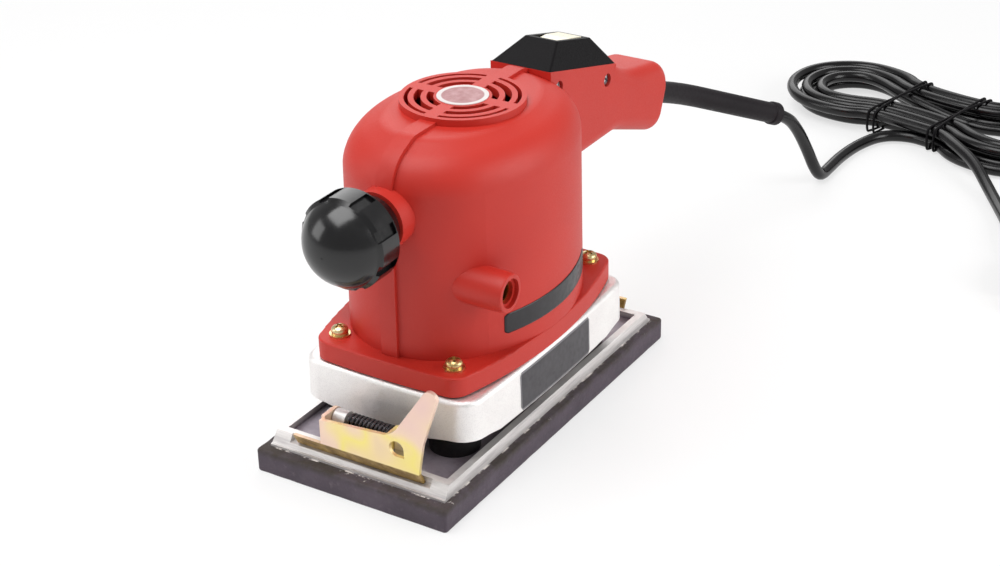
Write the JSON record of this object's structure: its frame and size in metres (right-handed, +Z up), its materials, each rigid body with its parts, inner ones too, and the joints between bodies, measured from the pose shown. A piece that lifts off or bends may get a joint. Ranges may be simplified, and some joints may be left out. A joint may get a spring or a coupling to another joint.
{
  "type": "electric orbital sheet sander",
  "caption": "Red electric orbital sheet sander with rear handle, front knob, silver cast base, rubber pad, lever paper clamps and a bundled black cord",
  "frame": {"origin": "on the working face of the pad, under the motor axis", "axes": "+Y from the front knob to the rear handle, +Z up from the pad along the motor axis, +X to the right"},
  "size_m": [0.2621, 0.5736, 0.1591],
  "materials": {
    "red_shell": "satin moulded, red",
    "black_cover": "matt moulded, black",
    "ivory_key": "smooth, ivory",
    "badge_plate": "smooth, bare",
    "brass": "turned",
    "black_gloss": "polished, black",
    "zinc_steel": "zinc plated",
    "gold_steel": "yellow passivated",
    "seal": "matt",
    "silver_cast": "silver paint on a casting",
    "bright_steel": "ground",
    "dark_steel": "oiled, dark",
    "copper_wire": "varnished copper",
    "pad_rubber": "matt, scuffed",
    "grey_can": "smooth, grey",
    "cord_rubber": "glossy, black",
    "tie_strip": "flat strip, black"
  },
  "bodies": {
    "housing": {"motor_housing": "red_shell", "handle_cover": "red_shell", "handle_screws": "gold_steel", "switch_cover": "black_cover", "switch_body": "black_cover", "vent_badge": "badge_plate", "thread_inserts": "brass", "flange_screws": "gold_steel", "spring_washers": "gold_steel", "flat_washers": "gold_steel", "gasket": "seal", "base_housing": "silver_cast", "upper_bearing_outer": "bright_steel", "lower_bearing_outer": "bright_steel", "stator_core": "dark_steel", "stator_windings": "copper_wire", "stator_screws": "zinc_steel", "run_capacitor": "grey_can", "terminal_block": "black_cover", "cord_clamp": "grey_can", "cord_clamp_screws": "zinc_steel", "strain_relief": "cord_rubber", "cord_lead": "cord_rubber", "cord_hank": "cord_rubber", "cord_tail": "cord_rubber", "hank_ties": "tie_strip", "plug_body": "black_cover", "plug_pins": "brass"},
    "rotor": {"motor_shaft": "bright_steel", "rotor_core": "dark_steel", "cooling_fan": "black_cover", "counterweight": "dark_steel", "upper_bearing_inner": "bright_steel", "lower_bearing_inner": "bright_steel", "eccentric_bearing_inner": "bright_steel"},
    "platen": {"platen": "silver_cast", "sanding_pad": "pad_rubber", "rubber_posts": "pad_rubber", "post_screws": "zinc_steel", "eccentric_bearing_outer": "bright_steel", "front_clamp_pin": "zinc_steel", "front_clamp_spring": "dark_steel", "rear_clamp_pin": "zinc_steel", "rear_clamp_spring": "dark_steel"},
    "front_clamp": {"front_clamp": "gold_steel"},
    "rear_clamp": {"rear_clamp": "gold_steel"},
    "rocker": {"switch_rocker": "ivory_key"},
    "stud": {"knob_stud": "zinc_steel"},
    "knob": {"front_knob": "black_gloss"}
  },
  "joints": [
    {"name": "shaft_spin", "type": "hinge", "parent": "housing", "child": "rotor", "pos_m": [0, 0, 0.08], "axis": [0, 0, 1], "continuous": true},
    {"name": "platen_orbit", "type": "hinge", "parent": "rotor", "child": "platen", "pos_m": [-0.00085, 0.00085, 0.0195], "axis": [0, 0, 1], "continuous": true},
    {"name": "front_clamp_lift", "type": "hinge", "parent": "platen", "child": "front_clamp", "pos_m": [-0.00085, -0.08155, 0.0297], "axis": [-1, 0, 0], "range_deg": [0, 18], "stiffness_Nm_per_rad": 1, "springref_deg": -11.46},
    {"name": "rear_clamp_lift", "type": "hinge", "parent": "platen", "child": "rear_clamp", "pos_m": [-0.00085, 0.08325, 0.0297], "axis": [1, 0, 0], "range_deg": [0, 18], "stiffness_Nm_per_rad": 1, "springref_deg": -11.46},
    {"name": "switch_rock", "type": "hinge", "parent": "housing", "child": "rocker", "pos_m": [0, 0.08135, 0.15062], "axis": [-1, 0, 0], "range_deg": [0, 14]},
    {"name": "stud_screw", "type": "slide", "parent": "housing", "child": "stud", "axis": [0, -1, 0], "range_m": [0, 0.0105]},
    {"name": "knob_turn", "type": "hinge", "parent": "stud", "child": "knob", "pos_m": [0, -0.09, 0.1223], "axis": [0, -1, 0], "range_deg": [0, 2521]}
  ],
  "couplings": [
    {"joint": "platen_orbit", "follows": "shaft_spin", "ratio": -1},
    {"joint": "knob_turn", "follows": "stud_screw", "rad_per_m": 4188.8}
  ]
}
